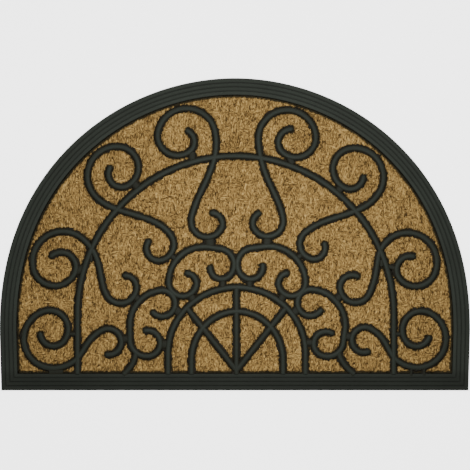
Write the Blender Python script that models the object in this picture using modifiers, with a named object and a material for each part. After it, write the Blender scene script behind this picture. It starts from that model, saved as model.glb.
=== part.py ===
"""Half-round coir doormat: a moulded rubber base with a ribbed border, a woven coir panel laid in it,
and raised rubber scroll tracery standing over the panel.

The part is in metres with +Z up. Its origin is under the middle of the mat, on the floor. The straight
front edge faces -Y. The sizes and tables below are in millimetres, and their x and y are counted from
the middle of the straight front edge; MM and place() bring them into the part's frame.
"""

import math
from collections import namedtuple

import bmesh
import bpy
from mathutils import Matrix

MM = 0.001

# Outline: straight front, nearly straight sides, half-oval back
MAT_WIDTH = 750.0
MAT_DEPTH = 498.0
SIDE_RISE = 95.0
SIDE_TAPER = 2.6
OVAL_POWER_X = 1.96
OVAL_POWER_Y = 2.2
OVAL_STEPS = 60

# Rubber border: a low outer lip, then ribs that rise towards the coir
LIP_WIDTH = 0.7
LIP_HEIGHT = 2.8
LIP_TOP = 3.3
RIB_COUNT = 4
RIB_PITCH = 6.6
OUTER_RIB_TOP = 5.0
INNER_RIB_TOP = 8.6
RIB_RELIEF = 1.0
WEB_THICKNESS = 2.0

# Share of the pitch, and share of the relief, at each point of one rib
RIB_SHAPE = ((0.18, 0.75), (0.50, 1.0), (0.82, 0.75), (1.0, 0.0))

# Coir panel, laid in the tray that the border and the web make
FIT_GAP = 0.3
COIR_TOP = 8.0
COIR_EDGE_ROUND = 1.2
COIR_EDGE_STEPS = 2
COIR_EDGE_ANGLE = 50.0

# Tracery bars: half-round section, and how high each kind of bar stands
BAR_WIDTH = 8.6
BAR_SHOULDER = 0.45
BAR_SHOULDER_WIDTH = 0.9
BAR_SKIRT = 1.5
SKIRT_STEP = 0.02
ARCH_RISE = 2.9
SCROLL_RISE = 2.7
CEE_RISE = 2.6
FAN_RISE = 2.8
SPOKE_RISE = 2.5
TIE_RISE = 1.6

# Each C scroll is this much lower than the last, and each spoke, so that no two tops lie in one plane
RISE_STEP = 0.07

# How far the levelling cut reaches above the tracery's underside
HEADROOM = 9.0

# The rounded end of a bar: how far before the tip, in half widths, and the share of the section there
NOSE = ((1.0, 1.0), (0.3, 0.72), (0.06, 0.36))
NOSE_MARGIN = 1.0

# How finely a bar's arcs are stepped: the chord error, and the largest turn
CHORD_ERROR = 0.35
LARGEST_TURN = 18.0
NECK_STEPS = 8

# Points of a route nearer than this are one point, and so are a cap's corners, in metres
SAME_POINT = 0.01
WELD_DISTANCE = 1e-6

# A scroll's head is three arcs of falling radius, each tangent inside the one before. It leaves the
# neck at the angle leave and goes round through join and curl to its tip. handle is how far the neck
# keeps the head's direction. side is -1 where the row is drawn mirrored, on the left.
Head = namedtuple("Head", "side x y radius leave join mid_radius curl core_radius tip handle")

# Its hook is two such arcs, from the angle enter through join to its tip.
Hook = namedtuple("Hook", "x y radius enter join core_radius tip handle")

SCROLLS = {
    "crown_left": (
        Head(-1, 77, 403, 46.5, 170, 14, 32, -125, 19.5, -255, 55),
        Hook(44.2, 269.7, 25.5, 10, -150, 17.5, -278, 44),
    ),
    "crown_right": (
        Head(1, 83.3, 401, 46, 184, 10, 32, -128, 21.5, -277, 60),
        Hook(52.3, 270.3, 24.9, 10, -150, 17.5, -255, 39),
    ),
    "shoulder_left": (
        Head(-1, 188, 341.7, 47, 335, 455, 33.2, 600, 21, 758, 52),
        Hook(122.7, 232.5, 25.5, 150, 258, 19.5, 404, 50),
    ),
    "shoulder_right": (
        Head(1, 190.6, 340, 46.3, 330, 455, 33.3, 604, 21, 724, 48),
        Hook(127.9, 233.3, 24.5, 130, 250, 18.2, 391, 48),
    ),
    "flank_left": (
        Head(-1, 274, 205, 48.5, 130, -14, 35, -155, 23.5, -320, 45),
        Hook(182, 164.5, 25.5, -30, -180, 18.5, -282, 30),
    ),
    "flank_right": (
        Head(1, 275, 204.5, 47, 170, -25, 32.5, -144, 22, -291, 20),
        Hook(192, 164.5, 24.5, -25, -180, 19.5, -306, 25),
    ),
    "corner_left": (
        Head(-1, 289.9, 82.2, 46.5, 261, 430, 30, 583, 21, 724, 46),
        Hook(202, 77.5, 21.2, 60, 200, 20, 288, 41),
    ),
    "corner_right": (
        Head(1, 290.5, 82.4, 45.8, 255, 425, 30.3, 575, 21, 709, 42),
        Hook(207, 80.3, 20.6, 60, 200, 19.2, 300, 40),
    ),
}

# A C scroll is one wide arc, its back, with a two-arc hook at each end. A straight bit may lie between
# the back and a hook: start_leg and finish_leg are their lengths.
Cee = namedtuple(
    "Cee",
    "side x y radius "
    "start start_leg start_radius start_join start_core start_tip "
    "finish finish_leg finish_radius finish_join finish_core finish_tip",
)

CEES = {
    "inner_left": Cee(-1, 49, 172.5, 56.7, 98, 18.2, 25.5, 226, 18, 372, 0, 0, 22.5, -155, 17, -275),
    "inner_right": Cee(1, 53.8, 171, 59, 98, 19.6, 26, 223, 19.5, 378, 2, 0, 22, -155, 17, -271),
    "outer_left": Cee(-1, 112.5, 105, 54.8, 84, 0, 21, 200, 20.5, 325, 0, 24, 26.5, -105, 20.5, -290),
    "outer_right": Cee(1, 118, 103.5, 58, 85, 0, 21.5, 200, 20.5, 334, -8, 20, 25, -120, 19.5, -310),
}

# The big arch: a half circle on straight legs
ARCH_X = 1.2
ARCH_RADIUS = 252.0
ARCH_SPRING = 121.8

# The fan at the front: two half-oval arcs on straight legs, and three spokes. The side spokes leave the
# upright one at the height of the fork.
FanArc = namedtuple("FanArc", "x half_width rise spring")
FAN_ARCS = (FanArc(3.0, 109.5, 104.5, 60.0), FanArc(3.8, 73.0, 78.0, 48.0))
FAN_STEPS = 16
SPOKE_X = 2.5
SPOKE_TOP = 164.0
SPOKE_REACH = 80.4
SPOKE_END = 133.5
SPOKE_FORK = 32.0

# The foot under each outer C scroll: where it starts, and how far further out it lands on the border
FOOT_START_Y = 64.0
Foot = namedtuple("Foot", "side x spread")
FEET = (Foot(-1, 157.5, 20), Foot(1, 165.5, 25))
FOOT_TOE = (0.8, -0.6)
FOOT_HANDLES = (16.0, 12.0)
FOOT_STEPS = 4

# Small ties of rubber where two bars nearly touch, or a bar and the border: the middle of the tie, its
# angle, its length and its width
Tie = namedtuple("Tie", "x y angle length width")
TIES = (
    Tie(-40, 238, 94, 16, 15),
    Tie(51.5, 239, 88, 16, 13),
    Tie(-99, 213, -37, 14, 8),
    Tie(104, 214.5, 216, 14, 8),
    Tie(-156, 147, -42, 14, 10),
    Tie(165.5, 148, 225, 16, 11),
    Tie(-174.5, 82, 8, 14, 11),
    Tie(180.5, 86, 170, 14, 11),
    Tie(-92, 127, -42, 16, 12),
    Tie(96, 125.5, 222, 16, 12),
    Tie(-112.5, 73.5, 0, 15, 14),
    Tie(118.5, 76, 180, 15, 10),
    Tie(-68, 147.5, -60, 14, 11),
    Tie(75, 147.5, 240, 14, 11),
    Tie(-19.5, 172, -90, 14, 9),
    Tie(23.5, 172, -90, 14, 9),
    Tie(-68, 373, 95, 14, 11),
    Tie(89, 367.5, 115, 14, 10),
    Tie(-157, 326, 130, 15, 12),
    Tie(167, 321, 50, 15, 12),
    Tie(-248.5, 192, 15, 16, 14),
    Tie(251, 196, 165, 15, 7),
    Tie(-260, 90, 0, 14, 6),
    Tie(261, 90, 180, 14, 6),
    Tie(-229, 211, 90, 10, 5),
    Tie(234, 203, 90, 10, 7),
    Tie(-285, 30, 0, 22, 8),
    Tie(281, 31, 90, 14, 4),
    Tie(301.5, 31, 90, 14, 4),
)

# A bar of the tracery: the points of its route, its section's width and rise, and whether its ends are round
Bar = namedtuple("Bar", "name points width rise round_ends")

# How each node looks: its material, and the angle above which an edge is sharp
Look = namedtuple("Look", "material colour roughness sharp_angle")
BASE_LOOK = Look("base_rubber", (0.021, 0.025, 0.021, 1.0), 0.62, 30)
COIR_LOOK = Look("coir_weave", (0.275, 0.165, 0.058, 1.0), 0.95, 40)
TRACERY_LOOK = Look("tracery_rubber", (0.030, 0.038, 0.040, 1.0), 0.5, 35)


def place(x, y, z):
    """A point of the tables, in metres in the part's frame."""
    return (x * MM, (y - MAT_DEPTH / 2) * MM, z * MM)


def clear_scene():
    for old in list(bpy.data.objects):
        bpy.data.objects.remove(old, do_unlink=True)


def new_collection(name):
    collection = bpy.data.collections.new(name)
    bpy.context.scene.collection.children.link(collection)
    return collection


def finish(solid, look):
    """The node's own material, smooth with its sharp edges kept."""
    material = bpy.data.materials.new(look.material)
    material.use_nodes = True
    shader = material.node_tree.nodes["Principled BSDF"]
    shader.inputs["Base Color"].default_value = look.colour
    shader.inputs["Roughness"].default_value = look.roughness
    shader.inputs["Metallic"].default_value = 0.0
    solid.data.materials.clear()
    solid.data.materials.append(material)
    solid.data.shade_smooth()
    solid.data.set_sharp_from_angle(angle=math.radians(look.sharp_angle))


def hide_guide(guide):
    guide.hide_render = True
    guide.display_type = "WIRE"


# Outline

def corner(side, inset):
    """Where the front edge and one side meet, once both are moved inwards by inset."""
    half = MAT_WIDTH / 2
    side_length = math.hypot(SIDE_TAPER, SIDE_RISE)
    x = half - SIDE_TAPER + SIDE_TAPER * inset / SIDE_RISE - inset * side_length / SIDE_RISE
    return (side * x, inset)


def outline_ring(inset):
    """The outline moved inwards by inset, from the right front corner round the back to the left one.

    The back is the half-oval (x / half width) ** power x + (y / rise) ** power y = 1, and each of its
    points moves along the curve's own normal.
    """
    half = MAT_WIDTH / 2
    rise = MAT_DEPTH - SIDE_RISE
    ring = [corner(1, inset)]
    for step in range(OVAL_STEPS + 1):
        turn = math.pi * step / OVAL_STEPS
        across = math.copysign(abs(math.cos(turn)) ** (2 / OVAL_POWER_X), math.cos(turn))
        up = math.sin(turn) ** (2 / OVAL_POWER_Y)
        normal_x = math.copysign(abs(across) ** (OVAL_POWER_X - 1), across) * OVAL_POWER_X / half
        normal_y = up ** (OVAL_POWER_Y - 1) * OVAL_POWER_Y / rise
        scale = inset / math.hypot(normal_x, normal_y)
        ring.append((half * across - normal_x * scale, SIDE_RISE + rise * up - normal_y * scale))
    ring.append(corner(-1, inset))
    return ring


# Rubber base

def border_profile():
    """Inset and height of each ring of the base, from the floor over the ribs and down to the web."""
    profile = [(0.0, 0.0), (0.0, LIP_HEIGHT), (LIP_WIDTH, LIP_TOP)]
    for rib in range(RIB_COUNT):
        top = OUTER_RIB_TOP + (INNER_RIB_TOP - OUTER_RIB_TOP) * rib / (RIB_COUNT - 1)
        for along, up in RIB_SHAPE:
            profile.append((LIP_WIDTH + RIB_PITCH * (rib + along), top - RIB_RELIEF * (1 - up)))
    profile.append((border_width(), WEB_THICKNESS))
    return profile


def border_width():
    return LIP_WIDTH + RIB_COUNT * RIB_PITCH


def build_base(collection):
    """Border and web in one: rings of the outline, joined one to the next, so the ribs stay parallel
    round the back and meet in mitres at the front corners."""
    mesh_builder = bmesh.new()
    rings = []
    for inset, height in border_profile():
        rings.append([mesh_builder.verts.new(place(x, y, height)) for x, y in outline_ring(inset)])
    for lower, upper in zip(rings, rings[1:]):
        for index in range(len(lower)):
            after = (index + 1) % len(lower)
            mesh_builder.faces.new((lower[index], lower[after], upper[after], upper[index]))
    mesh_builder.faces.new(list(reversed(rings[0])))
    mesh_builder.faces.new(rings[-1])
    mesh = bpy.data.meshes.new("rubber_base")
    mesh_builder.to_mesh(mesh)
    mesh_builder.free()
    base = bpy.data.objects.new("rubber_base", mesh)
    collection.objects.link(base)
    finish(base, BASE_LOOK)
    return base


# Coir panel

def curve_to_solid(curve_object, name, collection):
    """The curve's evaluated shape as a mesh object with welded caps. The curve is removed."""
    bpy.context.view_layer.update()
    evaluated = curve_object.evaluated_get(bpy.context.evaluated_depsgraph_get())
    mesh = bpy.data.meshes.new_from_object(evaluated)
    mesh.name = name
    welder = bmesh.new()
    welder.from_mesh(mesh)
    bmesh.ops.remove_doubles(welder, verts=welder.verts, dist=WELD_DISTANCE)
    bmesh.ops.recalc_face_normals(welder, faces=welder.faces)
    welder.to_mesh(mesh)
    welder.free()
    solid = bpy.data.objects.new(name, mesh)
    solid.matrix_world = curve_object.matrix_world
    collection.objects.link(solid)
    bpy.data.objects.remove(curve_object, do_unlink=True)
    return solid


def poly_curve(name, points, closed):
    """A curve object of one straight-sided spline through points."""
    curve = bpy.data.curves.new(name, "CURVE")
    spline = curve.splines.new("POLY")
    spline.points.add(len(points) - 1)
    for control, point in zip(spline.points, points):
        control.co = (*point, 1.0)
    spline.use_cyclic_u = closed
    curve_object = bpy.data.objects.new(name, curve)
    bpy.context.scene.collection.objects.link(curve_object)
    return curve_object


def build_coir(collection):
    """The panel as cut: the outline drawn in to the tray, as thick as the woven coir, edges softened."""
    bottom = WEB_THICKNESS + FIT_GAP
    points = [place(x, y, 0.0) for x, y in outline_ring(border_width() + FIT_GAP)]
    outline = poly_curve("coir_outline", points, True)
    outline.data.dimensions = "2D"
    outline.data.fill_mode = "BOTH"
    outline.data.extrude = (COIR_TOP - bottom) / 2 * MM
    outline.location.z = (COIR_TOP + bottom) / 2 * MM
    panel = curve_to_solid(outline, "coir_panel", collection)
    bevel = panel.modifiers.new("soft edge", "BEVEL")
    bevel.width = COIR_EDGE_ROUND * MM
    bevel.segments = COIR_EDGE_STEPS
    bevel.limit_method = "ANGLE"
    bevel.angle_limit = math.radians(COIR_EDGE_ANGLE)
    finish(panel, COIR_LOOK)
    return panel


# Routes of the tracery bars

def on_circle(x, y, radius, degrees):
    angle = math.radians(degrees)
    return (x + radius * math.cos(angle), y + radius * math.sin(angle))


def arc(x, y, radius, start, end):
    """Points on an arc, as many as its chord error asks for."""
    turn = min(LARGEST_TURN, 2 * math.degrees(math.acos(1 - CHORD_ERROR / radius)))
    steps = max(1, math.ceil(abs(end - start) / turn))
    return [on_circle(x, y, radius, start + (end - start) * step / steps) for step in range(steps + 1)]


def volute(x, y, arcs):
    """Arcs of falling radius, each tangent inside the one before: rows of radius, start and end."""
    points = []
    for index, (radius, start, end) in enumerate(arcs):
        points += arc(x, y, radius, start, end)
        if index + 1 < len(arcs):
            x, y = on_circle(x, y, radius - arcs[index + 1][0], end)
    return points


def heading(degrees, anticlockwise):
    """The direction of travel on a circle at an angle."""
    sense = 1 if anticlockwise else -1
    return (-sense * math.sin(math.radians(degrees)), sense * math.cos(math.radians(degrees)))


def moved(x, y, direction, length):
    return (x + direction[0] * length, y + direction[1] * length)


def blend(start, start_heading, start_handle, end, end_heading, end_handle, steps):
    """A cubic curve that leaves start and reaches end in the given directions."""
    first = [start[axis] + start_heading[axis] * start_handle for axis in (0, 1)]
    second = [end[axis] - end_heading[axis] * end_handle for axis in (0, 1)]
    points = []
    for step in range(steps + 1):
        t = step / steps
        weights = ((1 - t) ** 3, 3 * t * (1 - t) ** 2, 3 * t * t * (1 - t), t ** 3)
        corners = (start, first, second, end)
        points.append(tuple(sum(w * c[axis] for w, c in zip(weights, corners)) for axis in (0, 1)))
    return points


def chain(*pieces):
    """Runs of points as one run, without the points that two runs share."""
    points = []
    for piece in pieces:
        for point in piece:
            if not points or math.dist(points[-1], point) > SAME_POINT:
                points.append(point)
    return points


def scroll_route(head, hook):
    """An S scroll: head from its tip outwards, neck, then the hook to its tip."""
    head_points = volute(head.x, head.y, (
        (head.radius, head.leave, head.join),
        (head.mid_radius, head.join, head.curl),
        (head.core_radius, head.curl, head.tip),
    ))
    hook_points = volute(hook.x, hook.y, (
        (hook.radius, hook.enter, hook.join),
        (hook.core_radius, hook.join, hook.tip),
    ))
    neck = blend(
        head_points[0], heading(head.leave, head.join < head.leave), head.handle,
        hook_points[0], heading(hook.enter, hook.join > hook.enter), hook.handle,
        NECK_STEPS,
    )
    return [(head.side * x, y) for x, y in chain(reversed(head_points), neck, hook_points)]


def cee_route(cee):
    """A C scroll: the start hook from its tip, the back, then the finish hook to its tip."""
    start_x, start_y = on_circle(cee.x, cee.y, cee.radius - cee.start_radius, cee.start)
    start_x, start_y = moved(start_x, start_y, heading(cee.start, True), cee.start_leg)
    start_hook = volute(start_x, start_y, (
        (cee.start_radius, cee.start, cee.start_join),
        (cee.start_core, cee.start_join, cee.start_tip),
    ))
    finish_x, finish_y = on_circle(cee.x, cee.y, cee.radius - cee.finish_radius, cee.finish)
    finish_x, finish_y = moved(finish_x, finish_y, heading(cee.finish, False), cee.finish_leg)
    finish_hook = volute(finish_x, finish_y, (
        (cee.finish_radius, cee.finish, cee.finish_join),
        (cee.finish_core, cee.finish_join, cee.finish_tip),
    ))
    back = arc(cee.x, cee.y, cee.radius, cee.start, cee.finish)
    return [(cee.side * x, y) for x, y in chain(reversed(start_hook), back, finish_hook)]


def arch_route():
    curve = arc(ARCH_X, ARCH_SPRING, ARCH_RADIUS, 180, 0)
    return chain([(ARCH_X - ARCH_RADIUS, 0.0)], curve, [(ARCH_X + ARCH_RADIUS, 0.0)])


def fan_route(fan):
    curve = []
    for step in range(FAN_STEPS + 1):
        turn = math.pi * (1 - step / FAN_STEPS)
        curve.append((fan.x + fan.half_width * math.cos(turn), fan.spring + fan.rise * math.sin(turn)))
    return chain([(fan.x - fan.half_width, 0.0)], curve, [(fan.x + fan.half_width, 0.0)])


def spoke_routes():
    """The upright spoke, and one to each side that leaves it at the fork."""
    return {
        "spoke_middle": [(SPOKE_X, 0.0), (SPOKE_X, SPOKE_TOP)],
        "spoke_left": [(SPOKE_X, SPOKE_FORK), (SPOKE_X - SPOKE_REACH, SPOKE_END)],
        "spoke_right": [(SPOKE_X, SPOKE_FORK), (SPOKE_X + SPOKE_REACH, SPOKE_END)],
    }


def foot_route(foot):
    start = (foot.side * foot.x, FOOT_START_Y)
    end = (foot.side * (foot.x + foot.spread), border_width() - BAR_WIDTH / 2)
    toe = (foot.side * FOOT_TOE[0], FOOT_TOE[1])
    return blend(start, (0.0, -1.0), FOOT_HANDLES[0], end, toe, FOOT_HANDLES[1], FOOT_STEPS)


def tie_route(tie):
    angle = math.radians(tie.angle)
    reach_x = math.cos(angle) * tie.length / 2
    reach_y = math.sin(angle) * tie.length / 2
    return [(tie.x - reach_x, tie.y - reach_y), (tie.x + reach_x, tie.y + reach_y)]


# Tracery

def bar_section(width, rise, skirt):
    """Half-round section, with a skirt below that the levelling cut takes off."""
    half = width / 2
    shoulder = half * BAR_SHOULDER_WIDTH
    outline = (
        (-half, -skirt),
        (half, -skirt),
        (shoulder, rise * BAR_SHOULDER),
        (0.0, rise),
        (-shoulder, rise * BAR_SHOULDER),
    )
    section = poly_curve("bar_section", [(x * MM, y * MM, 0.0) for x, y in outline], True)
    section.data.dimensions = "2D"
    section.data.fill_mode = "NONE"
    return section


def with_round_tip(rows, radius):
    """Ends the rows of x, y and share of the section in a nose: the last stretch narrows to the tip."""
    tip = rows[-1][:2]
    kept = [row for row in rows if math.dist(row[:2], tip) > radius + NOSE_MARGIN]
    start = kept[-1][:2]
    length = math.dist(start, tip)
    for back, share in NOSE:
        along = 1 - back * radius / length
        kept.append(tuple(start[axis] + (tip[axis] - start[axis]) * along for axis in (0, 1)) + (share,))
    return kept


def build_bar(bar, skirt, collection):
    """One bar: its section carried along its route, as a closed solid that stands in its place."""
    rows = [(x, y, 1.0) for x, y in bar.points]
    if bar.round_ends:
        rows = with_round_tip(rows, bar.width / 2)
        rows = with_round_tip(rows[::-1], bar.width / 2)
    underside = COIR_TOP + FIT_GAP
    path = poly_curve(bar.name + "_route", [place(x, y, underside) for x, y, _ in rows], False)
    path.data.dimensions = "3D"
    path.data.twist_mode = "Z_UP"
    for control, (_, _, share) in zip(path.data.splines[0].points, rows):
        control.radius = share
    section = bar_section(bar.width, bar.rise, skirt)
    path.data.bevel_mode = "OBJECT"
    path.data.bevel_object = section
    path.data.use_fill_caps = True
    solid = curve_to_solid(path, bar.name, collection)
    bpy.data.objects.remove(section, do_unlink=True)
    return solid


def tracery_bars():
    """All bars, the arch first."""
    bars = [Bar("scroll_tracery", arch_route(), BAR_WIDTH, ARCH_RISE, False)]
    for name, (head, hook) in SCROLLS.items():
        bars.append(Bar(name, scroll_route(head, hook), BAR_WIDTH, SCROLL_RISE, True))
    for index, (name, cee) in enumerate(CEES.items()):
        bars.append(Bar("cee_" + name, cee_route(cee), BAR_WIDTH, CEE_RISE - RISE_STEP * index, True))
    for index, fan in enumerate(FAN_ARCS):
        bars.append(Bar("fan_%d" % index, fan_route(fan), BAR_WIDTH, FAN_RISE, False))
    for index, (name, route) in enumerate(spoke_routes().items()):
        bars.append(Bar(name, route, BAR_WIDTH, SPOKE_RISE - RISE_STEP * index, False))
    for index, foot in enumerate(FEET):
        bars.append(Bar("foot_%d" % index, foot_route(foot), BAR_WIDTH, SPOKE_RISE, False))
    for index, tie in enumerate(TIES):
        bars.append(Bar("tie_%02d" % index, tie_route(tie), tie.width, TIE_RISE, False))
    return bars


def levelling_box(collection):
    """What the tracery keeps: all above its flat underside and behind the border's inner edge."""
    front = border_width() + FIT_GAP
    underside = COIR_TOP + FIT_GAP
    low = place(-MAT_WIDTH / 2, front, underside)
    high = place(MAT_WIDTH / 2, MAT_DEPTH, underside + HEADROOM)
    bpy.ops.mesh.primitive_cube_add(size=1.0)
    box = bpy.context.object
    box.name = "levelling_box"
    box.data.transform(Matrix.Diagonal([high[axis] - low[axis] for axis in range(3)] + [1.0]))
    box.location = [(high[axis] + low[axis]) / 2 for axis in range(3)]
    for owner in list(box.users_collection):
        owner.objects.unlink(box)
    collection.objects.link(box)
    hide_guide(box)
    return box


def build_tracery(collection, guides):
    """All bars and ties united into one solid, and its underside cut level over the coir."""
    bar_guides = bpy.data.collections.new("tracery_bars")
    guides.children.link(bar_guides)
    arch, *others = tracery_bars()
    tracery = build_bar(arch, BAR_SKIRT, collection)
    for index, bar in enumerate(others, 1):
        hide_guide(build_bar(bar, BAR_SKIRT + SKIRT_STEP * index, bar_guides))
    union = tracery.modifiers.new("one moulding", "BOOLEAN")
    union.operation = "UNION"
    union.operand_type = "COLLECTION"
    union.collection = bar_guides
    union.solver = "EXACT"
    level = tracery.modifiers.new("level underside", "BOOLEAN")
    level.operation = "INTERSECT"
    level.object = levelling_box(guides)
    level.solver = "EXACT"
    finish(tracery, TRACERY_LOOK)
    return tracery


def main():
    clear_scene()
    doormat = new_collection("half_round_doormat")
    guides = new_collection("guides")
    build_base(doormat)
    build_coir(doormat)
    build_tracery(doormat, guides)


main()
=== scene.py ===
"""Looks of the half-round coir doormat, laid out as an add-on.

A ribbed rubber border, a woven coir panel under thousands of loose coir fibres, and half-round rubber
scroll bars with the dark rubber that has seeped into the coir beside them, darkened there also as painted
shade. The bars carry painted sheen along their crowns and painted shade down their sides; the ribs carry a
painted highlight, with painted shade along the front and the inner edge; the coir carries painted shade in
its pits. Shapes are worked out in millimetres, with x and y counted from the middle of the straight front
edge; in_frame() brings them into the frame of the part. Points in the plane are complex numbers, x + iy.
"""

import math
from collections import namedtuple

import bmesh
import bpy
import numpy as np
from bpy.props import FloatProperty, FloatVectorProperty, IntProperty, PointerProperty
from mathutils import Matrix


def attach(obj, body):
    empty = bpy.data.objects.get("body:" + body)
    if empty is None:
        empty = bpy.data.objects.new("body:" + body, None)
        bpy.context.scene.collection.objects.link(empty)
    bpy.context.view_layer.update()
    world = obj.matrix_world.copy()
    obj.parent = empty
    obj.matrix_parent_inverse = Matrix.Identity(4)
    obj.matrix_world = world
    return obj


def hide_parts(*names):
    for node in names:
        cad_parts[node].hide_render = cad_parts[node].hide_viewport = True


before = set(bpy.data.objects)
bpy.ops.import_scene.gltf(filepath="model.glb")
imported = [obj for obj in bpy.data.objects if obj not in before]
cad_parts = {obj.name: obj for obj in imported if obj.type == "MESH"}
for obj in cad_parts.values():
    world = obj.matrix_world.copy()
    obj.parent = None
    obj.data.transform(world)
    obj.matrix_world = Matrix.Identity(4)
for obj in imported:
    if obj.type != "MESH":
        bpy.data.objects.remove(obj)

bl_info = {
    "name": "Half-round coir doormat",
    "version": (1, 0, 0),
    "blender": (4, 5, 0),
    "location": "3D View > Sidebar > Doormat",
    "description": "Dresses the half-round doormat in ribbed rubber, woven coir and rubber scrollwork",
    "category": "Add Mesh",
}

MM = 0.001

# Outline, as in the part
MAT_WIDTH = 750.0
MAT_DEPTH = 498.0
SIDE_RISE = 95.0
SIDE_TAPER = 2.6
OVAL_POWER_X = 1.96
OVAL_POWER_Y = 2.2

# Border and tray, as in the part
LIP_WIDTH = 0.7
RIB_COUNT = 4
RIB_PITCH = 6.6
BORDER_WIDTH = LIP_WIDTH + RIB_COUNT * RIB_PITCH
WEB_THICKNESS = 2.0
FIT_GAP = 0.3
COIR_BOTTOM = WEB_THICKNESS + FIT_GAP
COIR_TOP = 8.0

# How finely shapes are worked out
OVAL_POINTS = 420
SIDE_POINTS = 24
FRONT_POINTS = 160
BAR_STEP = 2.0
COIR_CELL = 1.64
COIR_MARGIN = 3
DRAWN_IN = 0.75
SLOPE_STEP = 0.25
NEAR_CELL = 0.8
NEAR_REACH = 9
NEAR_MARGIN = 4

# The tracery, as in the part. A scroll's head is three arcs of falling radius, each tangent inside the
# one before, from the angle leave round through join and curl to its tip; its hook is two such arcs.
Head = namedtuple("Head", "side x y radius leave join mid_radius curl core_radius tip handle")
Hook = namedtuple("Hook", "x y radius enter join core_radius tip handle")

SCROLLS = {
    "crown_left": (
        Head(-1, 77, 403, 46.5, 170, 14, 32, -125, 19.5, -255, 55),
        Hook(44.2, 269.7, 25.5, 10, -150, 17.5, -278, 44),
    ),
    "crown_right": (
        Head(1, 83.3, 401, 46, 184, 10, 32, -128, 21.5, -277, 60),
        Hook(52.3, 270.3, 24.9, 10, -150, 17.5, -255, 39),
    ),
    "shoulder_left": (
        Head(-1, 188, 341.7, 47, 335, 455, 33.2, 600, 21, 758, 52),
        Hook(122.7, 232.5, 25.5, 150, 258, 19.5, 404, 50),
    ),
    "shoulder_right": (
        Head(1, 190.6, 340, 46.3, 330, 455, 33.3, 604, 21, 724, 48),
        Hook(127.9, 233.3, 24.5, 130, 250, 18.2, 391, 48),
    ),
    "flank_left": (
        Head(-1, 274, 205, 48.5, 130, -14, 35, -155, 23.5, -320, 45),
        Hook(182, 164.5, 25.5, -30, -180, 18.5, -282, 30),
    ),
    "flank_right": (
        Head(1, 275, 204.5, 47, 170, -25, 32.5, -144, 22, -291, 20),
        Hook(192, 164.5, 24.5, -25, -180, 19.5, -306, 25),
    ),
    "corner_left": (
        Head(-1, 289.9, 82.2, 46.5, 261, 430, 30, 583, 21, 724, 46),
        Hook(202, 77.5, 21.2, 60, 200, 20, 288, 41),
    ),
    "corner_right": (
        Head(1, 290.5, 82.4, 45.8, 255, 425, 30.3, 575, 21, 709, 42),
        Hook(207, 80.3, 20.6, 60, 200, 19.2, 300, 40),
    ),
}

Cee = namedtuple(
    "Cee",
    "side x y radius "
    "start start_leg start_radius start_join start_core start_tip "
    "finish finish_leg finish_radius finish_join finish_core finish_tip",
)

CEES = {
    "inner_left": Cee(-1, 49, 172.5, 56.7, 98, 18.2, 25.5, 226, 18, 372, 0, 0, 22.5, -155, 17, -275),
    "inner_right": Cee(1, 53.8, 171, 59, 98, 19.6, 26, 223, 19.5, 378, 2, 0, 22, -155, 17, -271),
    "outer_left": Cee(-1, 112.5, 105, 54.8, 84, 0, 21, 200, 20.5, 325, 0, 24, 26.5, -105, 20.5, -290),
    "outer_right": Cee(1, 118, 103.5, 58, 85, 0, 21.5, 200, 20.5, 334, -8, 20, 25, -120, 19.5, -310),
}

ARCH_X = 1.2
ARCH_RADIUS = 252.0
ARCH_SPRING = 121.8

FanArc = namedtuple("FanArc", "x half_width rise spring")
FAN_ARCS = (FanArc(3.0, 109.5, 104.5, 60.0), FanArc(3.8, 73.0, 78.0, 48.0))
SPOKE_X = 2.5
SPOKE_TOP = 164.0
SPOKE_REACH = 80.4
SPOKE_END = 133.5
SPOKE_FORK = 32.0

FOOT_START_Y = 64.0
Foot = namedtuple("Foot", "side x spread")
FEET = (Foot(-1, 157.5, 20), Foot(1, 165.5, 25))
FOOT_TOE = 0.8 - 0.6j
FOOT_HANDLES = (16.0, 12.0)

# How far legs and feet run on under the border
LEG_OVERLAP = 0.6
FOOT_OVERLAP = 1.0

# How far these bars stand under or over the scrolls
CEE_DROP = 0.1
FAN_LIFT = 0.1
SPOKE_DROP = 0.2

# How much painted sheen a bar's crown has
FULL_SHEEN = 1.0
SPOKE_SHEEN = 0.8
TIE_SHEEN = 0.5

Tie = namedtuple("Tie", "x y angle length width")
TIES = (
    Tie(-40, 238, 94, 16, 15),
    Tie(51.5, 239, 88, 16, 13),
    Tie(-99, 213, -37, 14, 8),
    Tie(104, 214.5, 216, 14, 8),
    Tie(-156, 147, -42, 14, 10),
    Tie(165.5, 148, 225, 16, 11),
    Tie(-174.5, 82, 8, 14, 11),
    Tie(180.5, 86, 170, 14, 11),
    Tie(-92, 127, -42, 16, 12),
    Tie(96, 125.5, 222, 16, 12),
    Tie(-112.5, 73.5, 0, 15, 14),
    Tie(118.5, 76, 180, 15, 10),
    Tie(-68, 147.5, -60, 14, 11),
    Tie(75, 147.5, 240, 14, 11),
    Tie(-19.5, 172, -90, 14, 9),
    Tie(23.5, 172, -90, 14, 9),
    Tie(-68, 373, 95, 14, 11),
    Tie(89, 367.5, 115, 14, 10),
    Tie(-157, 326, 130, 15, 12),
    Tie(167, 321, 50, 15, 12),
    Tie(-248.5, 192, 15, 16, 14),
    Tie(251, 196, 165, 15, 7),
    Tie(-260, 90, 0, 14, 6),
    Tie(261, 90, 180, 14, 6),
    Tie(-229, 211, 90, 10, 5),
    Tie(234, 203, 90, 10, 7),
    Tie(-285, 30, 0, 22, 8),
    Tie(281, 31, 90, 14, 4),
    Tie(301.5, 31, 90, 14, 4),
)

# One bar of the tracery: its line, width and rise, whether its ends are round, and its share of painted
# sheen
Bar = namedtuple("Bar", "line width rise round_ends wear")


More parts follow.
